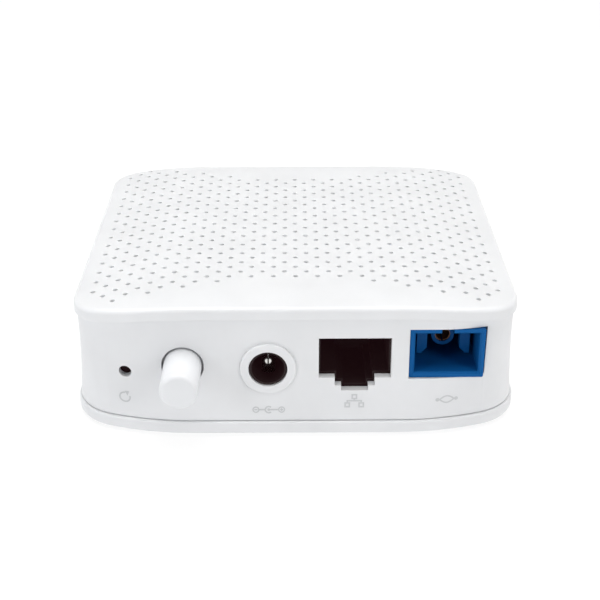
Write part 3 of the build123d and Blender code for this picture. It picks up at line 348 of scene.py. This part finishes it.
def rubber_grey():
    """Soft dark rubber with a chalky bloom and a coarse grain."""
    look = Look("rubber_grey", (0.075, 0.075, 0.078), 0.82)
    look.soften(0.2 * MM)
    look.bump(look.noise(0.3 * MM, 3.0, 0.6), 0.02 * MM)
    look.tint(look.remap(look.noise(2 * MM, 4.0), 0.45, 0.8, 0.0, 0.7), (0.13, 0.13, 0.132))
    look.vary_roughness(look.noise(1 * MM), 0.08)
    return look.material


def pad_grey():
    """Silicone gap pad: grey, slightly bloomed."""
    look = Look("pad_grey", (0.42, 0.44, 0.47), 0.7)
    look.bump(look.noise(0.5 * MM, 4.0, 0.6), 0.03 * MM)
    look.tint(look.remap(look.noise(1.5 * MM, 4.0), 0.4, 0.8, 0.0, 1.0), (0.52, 0.54, 0.56))
    return look.material


def chip_black():
    """Moulded epoxy chip body with a matte laser-marked haze."""
    look = Look("chip_black", (0.022, 0.022, 0.025), 0.55)
    look.soften(0.05 * MM)
    look.bump(look.noise(0.07 * MM, 2.0, 0.5), 0.004 * MM)
    look.tint(look.remap(look.noise(1.4 * MM, 3.0), 0.45, 0.75, 0.0, 1.0), (0.045, 0.045, 0.05))
    look.vary_roughness(look.noise(0.6 * MM), 0.08)
    return look.material


def led_white():
    """Milky LED lens."""
    look = Look("led_white", (0.86, 0.86, 0.76), 0.3)
    look.soften(0.06 * MM)
    look.bump(look.noise(0.2 * MM), 0.004 * MM)
    look.tint(look.remap(look.noise(0.5 * MM), 0.4, 0.7, 0.0, 1.0), (0.88, 0.84, 0.60))
    return look.material


def light_guide_clear():
    """Clear guide with a lightly frosted tip, so that the windows read as small lenses."""
    look = Look("light_guide_clear", (0.88, 0.91, 0.93), 0.24, Transmission_Weight=0.55, IOR=1.58)
    look.soften(0.1 * MM)
    look.bump(look.noise(0.15 * MM, 2.0), 0.006 * MM)
    look.tint(look.remap(look.noise(1.0 * MM), 0.4, 0.7, 0.0, 1.0), (0.82, 0.86, 0.89))
    look.vary_roughness(look.noise(0.5 * MM), 0.08)
    return look.material


def board_green():
    """Solder mask over copper traces, with bare vias."""
    look = Look("board_green", (0.012, 0.13, 0.05), 0.32)
    look.soften(0.08 * MM)
    lines = look.add("ShaderNodeTexBrick", offset=0.37, squash=1.7)
    lines.inputs["Scale"].default_value = 1.0 / (4 * MM)
    lines.inputs["Mortar Size"].default_value = 0.055
    lines.inputs["Mortar Smooth"].default_value = 0.1
    look.link(look.place, lines.inputs["Vector"])
    traces = lines.outputs["Fac"]
    base = look.tint(traces, (0.03, 0.24, 0.09))
    vias = look.remap(look.cells(2.6 * MM), 0.10, 0.085, 0.0, 1.0)
    look.tint(vias, (0.62, 0.52, 0.30), base)
    look.bump(look.math("ADD", traces, look.math("MULTIPLY", vias, 1.5)), 0.03 * MM)
    look.bump(look.noise(0.3 * MM, 2.0), 0.004 * MM)
    look.vary_roughness(look.noise(2 * MM, 3.0), 0.06)
    return look.material


def between(look, coordinate, low, high):
    """1 where a coordinate lies between two values, in metres."""
    above = look.math("GREATER_THAN", coordinate, low)
    return look.math("MULTIPLY", above, look.math("LESS_THAN", coordinate, high))


def label_paper():
    """Silver-white film with a ruled frame and blank lines, no lettering."""
    look = Look("label_paper", (0.74, 0.75, 0.76), 0.45)
    look.bump(look.noise(0.12 * MM, 2.0), 0.003 * MM)
    split = look.add("ShaderNodeSeparateXYZ")
    look.link(look.place, split.inputs[0])
    across, along = split.outputs["X"], split.outputs["Y"]
    low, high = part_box("rating_label")
    margin, line = 1.4 * MM, 0.18 * MM
    inside_x = between(look, across, low.x + margin, high.x - margin)
    inside_y = between(look, along, low.y + margin, high.y - margin)
    outer = look.math("MULTIPLY", inside_x, inside_y)
    core_x = between(look, across, low.x + margin + line, high.x - margin - line)
    core_y = between(look, along, low.y + margin + line, high.y - margin - line)
    core = look.math("MULTIPLY", core_x, core_y)
    mask = look.math("SUBTRACT", outer, core, True)
    rules, pitch = 4, 2.6 * MM
    for i in range(rules):
        y = low.y + margin + pitch * (i + 1)
        row = between(look, along, y, y + line)
        span = between(look, across, low.x + 2.2 * margin, high.x - (2.2 + 1.5 * (i % 2)) * margin)
        mask = look.math("ADD", mask, look.math("MULTIPLY", row, span), True)
    base = look.tint(look.remap(look.noise(6 * MM, 3.0), 0.4, 0.7, 0.0, 1.0), (0.70, 0.71, 0.72))
    look.tint(mask, (0.16, 0.17, 0.18), base)
    look.vary_roughness(look.noise(1 * MM), 0.05)
    return look.material


def print_grey():
    """Pad-printed ink of the symbols, slightly broken up at its edges."""
    look = Look("print_grey", (0.54, 0.55, 0.565), 0.5)
    look.bump(look.noise(0.08 * MM, 2.0), 0.002 * MM)
    look.tint(look.remap(look.noise(0.25 * MM, 3.0), 0.45, 0.75, 0.0, 0.6), (0.62, 0.63, 0.64))
    look.vary_roughness(look.noise(0.3 * MM), 0.06)
    return look.material


SLOTS = [
    case_white, button_white, jack_black, adapter_blue, component_dark, component_tan, ceramic,
    sleeve_bronze, contact_gold, bright_metal, tinned, screw_steel, aluminium, rubber_grey, pad_grey,
    chip_black, led_white, light_guide_clear, board_green, label_paper,
]


def dress_nodes():
    """Gives every CAD node its slot's material."""
    materials = {make.__name__: make() for make in SLOTS}
    for part in frame["record"]["subparts"]:
        node = nodes[part["node"]]
        node.data.materials.clear()
        node.data.materials.append(materials[part["material_slot"]])


# ---------------------------------------------------------------- switch spring
def make_spring():
    """The switch spring as a piece of its own, held on the terminal in place of its CAD node."""
    coil = bpy.data.objects.new("switch_coil", nodes["power_switch_spring"].data.copy())
    bpy.context.scene.collection.objects.link(coil)
    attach(coil, "terminal")
    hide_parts("power_switch_spring")
    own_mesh(coil)


# ---------------------------------------------------------------- printed symbols
STROKE = 0.28 * MM
INK_HEIGHT = 0.02 * MM


def ribbon(points, width):
    """Faces of a line of a given width through points in the plane of the wall."""
    rails = []
    for i, point in enumerate(points):
        before = points[max(i - 1, 0)]
        after = points[min(i + 1, len(points) - 1)]
        direction = (Vector(after) - Vector(before)).normalized()
        across = Vector((-direction.y, direction.x)) * width / 2
        rails.append((Vector(point) - across, Vector(point) + across))
    return [(here[0], there[0], there[1], here[1]) for here, there in zip(rails, rails[1:])]


def straight(start, end, width=STROKE):
    """A straight stroke, in short steps so that it can follow the wall."""
    steps = 6
    start, end = Vector(start), Vector(end)
    return ribbon([tuple(start.lerp(end, i / steps)) for i in range(steps + 1)], width)


def arc(centre, radius, start, end, width=STROKE):
    """An arc stroke between two angles in degrees."""
    steps = 28
    angles = [math.radians(start + (end - start) * i / steps) for i in range(steps + 1)]
    points = [(centre[0] + radius * math.cos(a), centre[1] + radius * math.sin(a)) for a in angles]
    return ribbon(points, width)


def disc(centre, radius):
    """A filled round dot."""
    return arc(centre, radius / 2, 0, 360, radius)


def polygon(*corners):
    """One filled face."""
    return [tuple(Vector(corner) for corner in corners)]


def square(centre, half, width=STROKE):
    """The outline of a square, built of four strokes."""
    x, y = centre
    reach = half + width / 2
    sides = [((x - reach, y + s * half), (x + reach, y + s * half)) for s in (-1, 1)]
    short = half - width / 2
    sides += [((x + s * half, y - short), (x + s * half, y + short)) for s in (-1, 1)]
    return [face for side in sides for face in straight(*side, width)]


def reset_symbol():
    """A round arrow."""
    radius, head = 0.95 * MM, 0.5 * MM
    tip = math.radians(58)
    x, y = radius * math.cos(tip), radius * math.sin(tip)
    arrow = polygon((x - head, y + head * 0.9), (x + head * 0.75, y + head), (x, y - head))
    return arc((0, 0), radius, 85, 375) + arrow


def switch_symbol():
    """A ring broken by an upright stroke."""
    radius = 1.0 * MM
    return arc((0, 0), radius, 125, 415) + straight((0, 0.2 * MM), (0, 1.35 * MM))


def polarity_symbol():
    """Centre-positive mark: a cup, a dot in it and its two leads."""
    reach = 2.3 * MM
    cup, dot, ring = 0.62 * MM, 0.26 * MM, 0.52 * MM
    faces = arc((0, 0), cup, 50, 310) + disc((0, 0), dot)
    faces += straight((dot, 0), (reach - ring, 0)) + straight((ring - reach, 0), (-cup, 0))
    plus = ring * 0.55
    for side in (-1, 1):
        faces += arc((side * reach, 0), ring, 0, 360, STROKE * 0.8)
        faces += straight((side * reach - plus, 0), (side * reach + plus, 0), STROKE * 0.8)
    for side in (-1, 1):
        faces += straight((reach, side * STROKE * 0.4), (reach, side * plus), STROKE * 0.8)
    return faces


def network_symbol():
    """Three boxes joined by a branching line."""
    half, drop, reach = 0.38 * MM, 0.82 * MM, 1.25 * MM
    edge = half + STROKE / 2
    faces = square((0, drop), half)
    for side in (-1, 1):
        faces += square((side * reach, -drop), half)
        faces += straight((side * reach, edge - drop), (side * reach, 0))
    faces += straight((-reach - STROKE / 2, 0), (reach + STROKE / 2, 0))
    return faces + straight((0, STROKE / 2), (0, drop - edge))


def fibre_symbol():
    """Two crossed light paths between a dot at each end."""
    reach, rise = 1.7 * MM, 0.68 * MM
    faces = disc((-reach, 0), 0.36 * MM) + disc((reach, 0), 0.36 * MM)
    for side in (-1, 1):
        steps = 20
        gap = reach - 0.38 * MM
        wave = [
            (gap * (2 * i / steps - 1), side * rise * math.cos(math.pi / 2 * (2 * i / steps - 1)))
            for i in range(steps + 1)
        ]
        faces += ribbon(wave, STROKE)
    return faces


SYMBOLS = {
    "symbol_reset": (reset_symbol, (-30.7, 7.2)),
    "symbol_switch": (switch_symbol, (-20.0, 7.5)),
    "symbol_polarity": (polarity_symbol, (-4.9, 5.3)),
    "symbol_network": (network_symbol, (10.4, 7.0)),
    "symbol_fibre": (fibre_symbol, (27.0, 6.9)),
}


def print_symbols():
    """Prints each symbol on the port wall: flat strokes laid on the wall's own surface."""
    housing = nodes["housing"]
    wall = BVHTree.FromObject(housing, bpy.context.evaluated_depsgraph_get())
    ink = print_grey()
    for name, (draw, (x, z)) in SYMBOLS.items():
        shape = bmesh.new()
        for corners in draw():
            points = []
            for corner in corners:
                across, up = x * MM + corner.x, z * MM + corner.y
                hit = wall.ray_cast(Vector((across, cad_low.y - 0.01, up)), Vector((0, 1, 0)))[0]
                points.append(shape.verts.new((across, hit.y - INK_HEIGHT / 4, up)))
            shape.faces.new(points)
        bmesh.ops.remove_doubles(shape, verts=shape.verts, dist=0.002 * MM)
        bmesh.ops.recalc_face_normals(shape, faces=shape.faces)
        mesh = bpy.data.meshes.new(name)
        shape.to_mesh(mesh)
        shape.free()
        mesh.materials.append(ink)
        piece = bpy.data.objects.new(name, mesh)
        bpy.context.scene.collection.objects.link(piece)
        thick = piece.modifiers.new("ink", "SOLIDIFY")
        thick.thickness = INK_HEIGHT
        thick.offset = 0.0
        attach(piece, "terminal")


# ---------------------------------------------------------------- studio
COOL = (0.97, 0.985, 1.0)
FADE_SPAN = (0.20, 0.34)        # height in the sky where the backdrop turns dark
FADE_STRENGTH = (0.80, 0.05)    # of the backdrop below and above that
LAMP_AIM_HEIGHT = 0.012
SIDE_BOX = (0.16, 0.3)

# place and size in metres, power in watts, colour
LAMPS = {
    "overhead": ((0.0, 0.04, 0.75), (0.8, 0.7), 7.4, (1.0, 0.995, 0.98)),
    "key_right": ((0.48, -0.44, 0.30), SIDE_BOX, 1.2, (1.0, 0.99, 0.97)),
    "key_left": ((-0.50, -0.42, 0.28), SIDE_BOX, 0.92, COOL),
    "rim_left": ((-0.60, -0.22, 0.22), SIDE_BOX, 0.35, COOL),
}


def make_floor():
    """Wide pale floor with a glow of its own, like a light table."""
    half = 6.0
    clearance = 0.02 * MM
    corners = [(-half, -half, 0), (half, -half, 0), (half, half, 0), (-half, half, 0)]
    mesh = bpy.data.meshes.new("floor")
    mesh.from_pydata(corners, [], [(0, 1, 2, 3)])
    look = Look("floor_white", (0.28, 0.28, 0.28), 0.7, Specular_IOR_Level=0.2,
                Emission_Color=(1.0, 1.0, 1.0, 1.0), Emission_Strength=0.74)
    look.tint(look.noise(0.4, 2.0), (0.27, 0.27, 0.27))
    mesh.materials.append(look.material)
    floor = bpy.data.objects.new("floor", mesh)
    floor.location.z = cad_low.z - clearance
    bpy.context.scene.collection.objects.link(floor)


def softbox(name, place, size, power, color):
    """A rectangular lamp at a place, aimed at the case."""
    aim = Vector((middle.x, middle.y, LAMP_AIM_HEIGHT))
    data = bpy.data.lights.new(name, "AREA")
    data.shape = "RECTANGLE"
    data.size, data.size_y = size
    data.energy = power
    data.color = color
    lamp = bpy.data.objects.new(name, data)
    lamp.location = place
    lamp.rotation_euler = (aim - Vector(place)).to_track_quat("-Z", "Y").to_euler()
    bpy.context.scene.collection.objects.link(lamp)


def make_backdrop():
    """Pale backdrop low around the object, dark above it."""
    world = bpy.data.worlds.new("studio")
    world.use_nodes = True
    tree = world.node_tree
    sky = tree.nodes["Background"]
    sky.inputs["Color"].default_value = (*COOL, 1.0)
    place = tree.nodes.new("ShaderNodeTexCoord")
    split = tree.nodes.new("ShaderNodeSeparateXYZ")
    fade = tree.nodes.new("ShaderNodeMapRange")
    for socket, number in zip(list(fade.inputs)[1:5], (*FADE_SPAN, *FADE_STRENGTH)):
        socket.default_value = number
    tree.links.new(place.outputs["Generated"], split.inputs[0])
    tree.links.new(split.outputs["Z"], fade.inputs["Value"])
    tree.links.new(fade.outputs["Result"], sky.inputs["Strength"])
    bpy.context.scene.world = world


def make_light():
    """A big box overhead and small ones on either side of the ports; colours are shown as they are."""
    for name, lamp in LAMPS.items():
        softbox(name, *lamp)
    settings = bpy.context.scene.view_settings
    settings.view_transform = "Standard"
    settings.look = "None"


make_camera()
dress_nodes()
make_spring()
print_symbols()
make_floor()
make_backdrop()
make_light()
